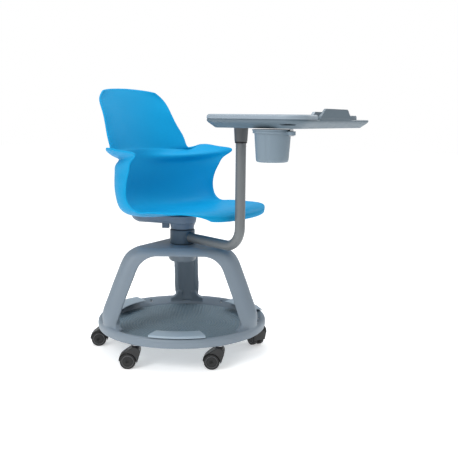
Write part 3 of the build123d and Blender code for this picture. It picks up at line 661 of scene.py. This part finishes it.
def build_cup():
    low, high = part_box("cup")
    centre = Vector(((low[0] + high[0]) / 2, (low[1] + high[1]) / 2, low[2]))
    cup_height = high[2] - low[2]
    outer_radii, outer_heights = zip(*CUP_OUTER)
    middle = recess_angle()

    def recessed(radius, height, angle):
        if not RECESS_BOTTOM <= height <= RECESS_TOP:
            return radius
        if abs(radius - np.interp(height, outer_heights, outer_radii)) >= OUTER_WALL_TOLERANCE:
            return radius
        offset = abs((angle - middle + math.pi) % (2 * math.pi) - math.pi)
        sideways = min(1.0, max(0.0, (RECESS_HALF_ANGLE - offset) / RECESS_SIDE_FADE))
        upright = min(1.0, (height - RECESS_BOTTOM) / RECESS_BOTTOM_FADE,
                      (RECESS_TOP - height) / RECESS_TOP_FADE)
        return radius - RECESS_DEPTH * sideways * upright

    profile = [(0, 0), *CUP_OUTER, *CUP_RIM_OUTER,
               *[(radius, cup_height) for radius in CUP_RIM_TOP], *CUP_INNER]
    cup = lathe("cup_wall", profile, centre, UP, "cup_grey_pp", "cup_holder", "base_grey",
                segments=240, radius_at=recessed)
    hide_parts("cup")


# ---------------------------------------------------------------------------
# Casters: rounded hoods and twin turned wheels, each with a grey ring that is a painted
# highlight on the wheel's rounded face
# ---------------------------------------------------------------------------
WHEEL_OFFSET = 0.0049   # from the roll joint to a wheel's inner face
WHEEL_SEGMENTS = 72
# (radius, distance outward from the wheel's inner face)
TYRE_PROFILE = [
    (0.0030, 0.0), (0.0208, 0.0), (0.0232, 0.0004), (0.0245, 0.0012), (0.0250, 0.0026),
    (0.0250, 0.0120), (0.0247, 0.0137), (0.0238, 0.0150), (0.0222, 0.0160),
    (0.0204, 0.0164), (0.0192, 0.0162), (0.0188, 0.0154), (0.0186, 0.0146),
    (0.0170, 0.0146), (0.0168, 0.0154), (0.0163, 0.0161), (0.0150, 0.0164),
    (0.0090, 0.0167), (0.0062, 0.0167), (0.0058, 0.0158), (0.0030, 0.0158),
]
# Grey ring set in the wheel's groove, a painted highlight.
HIGHLIGHT_BAND_PROFILE = [
    (0.01695, 0.0146), (0.01865, 0.0146), (0.01868, 0.0158), (0.0184, 0.0163),
    (0.0172, 0.0163), (0.01692, 0.0158),
]


def build_caster(i):
    soften(f"caster{i}_hood", f"caster{i}_cover", "caster_nylon", voxel=0.0010, rounds=4)
    joint = JOINTS[f"caster{i}_roll"]
    axle = Vector(joint["axis"]).normalized()
    for side, sign in (("a", 1), ("b", -1)):
        place = {"centre": Vector(joint["pos_m"]) + axle * (WHEEL_OFFSET * sign),
                 "axis": axle * sign, "body": f"caster{i}_wheels",
                 "slot": "caster_black", "segments": WHEEL_SEGMENTS}
        tyre = lathe(f"caster{i}_tyre_{side}", TYRE_PROFILE, material="caster_tread", **place)
        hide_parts(f"caster{i}_wheel_{side}")
        # The grey ring paints the highlight on the wheel's rounded face.
        lathe(f"caster{i}_highlight_band_{side}", HIGHLIGHT_BAND_PROFILE, material="caster_highlight_ring", **place)


# ---------------------------------------------------------------------------
# Floor, world, lights and camera
# ---------------------------------------------------------------------------
FLOOR_HALF = 14.0
# name, place, target, disc diameter, watts; places are (right, away, up) of the view
LIGHTS = [
    ("key", (-1.3, -2.1, 2.0), (0, 0, 0.4), 1.3, 34),
    ("top", (0.1, 0.1, 2.6), (0, 0, 0.4), 1.6, 30),
    ("rim", (1.7, 1.2, 1.6), (0, 0, 0.5), 1.0, 9),
]
CAMERA_PLACE = (0.155, -2.353, 0.769)
CAMERA_PITCH = math.radians(8.85)   # downward
CAMERA_ROLL = math.radians(0.6)
SENSOR_WIDTH, FOCAL_LENGTH = 36.0, 56.2008734   # millimetres


def view_place(right, away, up):
    """World place from view directions, measured from the floor below the hub."""
    return (Vector((HUB.x, HUB.y, 0)) + VIEW_RIGHT * right + VIEW_AWAY * away
            + Vector((0, 0, up)))


def build_floor():
    material, tree, shader, coords = new_material("stage_floor")
    mottle = noise(tree, coords, Scale=3.0, Detail=2.0)
    set_inputs(tree, shader, {
        "Base Color": mix_colour(tree, mottle, (0.93, 0.93, 0.93, 1), (0.96, 0.96, 0.96, 1)),
        "Roughness": 0.9,
        "Emission Color": (1, 1, 1, 1),
        "Emission Strength": 0.42})
    half = FLOOR_HALF
    corners = [(-half, -half, 0), (half, -half, 0), (half, half, 0), (-half, half, 0)]
    floor = link_object("studio_floor", make_mesh("studio_floor", corners, [(0, 1, 2, 3)]))
    floor.data.materials.append(material)


def build_world():
    """White to the camera; the light it casts falls off toward the floor."""
    world = bpy.data.worlds.new("studio")
    SCENE.world = world
    world.use_nodes = True
    tree = world.node_tree
    seen = tree.nodes["Background"]
    set_inputs(tree, seen, {"Color": (1, 1, 1, 1), "Strength": 1.0})
    coords = add_node(tree, "TexCoord", {})
    split = add_node(tree, "SeparateXYZ", {0: coords.outputs["Generated"]})
    strength = map_range(tree, split.outputs["Z"], low=0.30, high=0.80,
                         from_low=-0.3, from_high=0.9)
    cast = add_node(tree, "Background", {"Strength": strength, "Color": (0.97, 0.99, 1.0, 1)})
    rays = add_node(tree, "LightPath", {})
    mix = add_node(tree, "MixShader", {
        0: rays.outputs["Is Camera Ray"], 1: cast.outputs[0], 2: seen.outputs[0]})
    tree.links.new(mix.outputs[0], tree.nodes["World Output"].inputs[0])


def set_view_transform():
    SCENE.view_settings.view_transform = "Standard"
    SCENE.view_settings.look = "None"
    SCENE.view_settings.exposure = 0.0
    SCENE.view_settings.gamma = 1.0


def add_light(name, place, target, diameter, watts):
    light = bpy.data.lights.new(name, "AREA")
    light.shape = "DISK"
    light.size = diameter
    light.energy = watts
    lamp = link_object(name, light)
    lamp.location = view_place(*place)
    aim = view_place(*target) - view_place(*place)
    lamp.rotation_euler = aim.to_track_quat("-Z", "Y").to_euler()


def add_camera():
    lens = bpy.data.cameras.new("cam")
    lens.sensor_width = SENSOR_WIDTH
    lens.lens = FOCAL_LENGTH
    camera = link_object("cam", lens)
    forward = VIEW_AWAY * math.cos(CAMERA_PITCH) - UP * math.sin(CAMERA_PITCH)
    upward = VIEW_AWAY * math.sin(CAMERA_PITCH) + UP * math.cos(CAMERA_PITCH)
    turn = Matrix((VIEW_RIGHT, upward, -forward)).transposed()
    turn = turn @ Matrix.Rotation(CAMERA_ROLL, 3, "Z")
    camera.matrix_world = Matrix.Translation(view_place(*CAMERA_PLACE)) @ turn.to_4x4()
    SCENE.camera = camera


finish_cad_nodes()
build_seat()
for moulding in MOULDINGS:
    soften(*moulding)
build_tray()
build_cup()
for number in CASTERS:
    build_caster(number)
build_floor()
build_world()
set_view_transform()
for light_row in LIGHTS:
    add_light(*light_row)
add_camera()
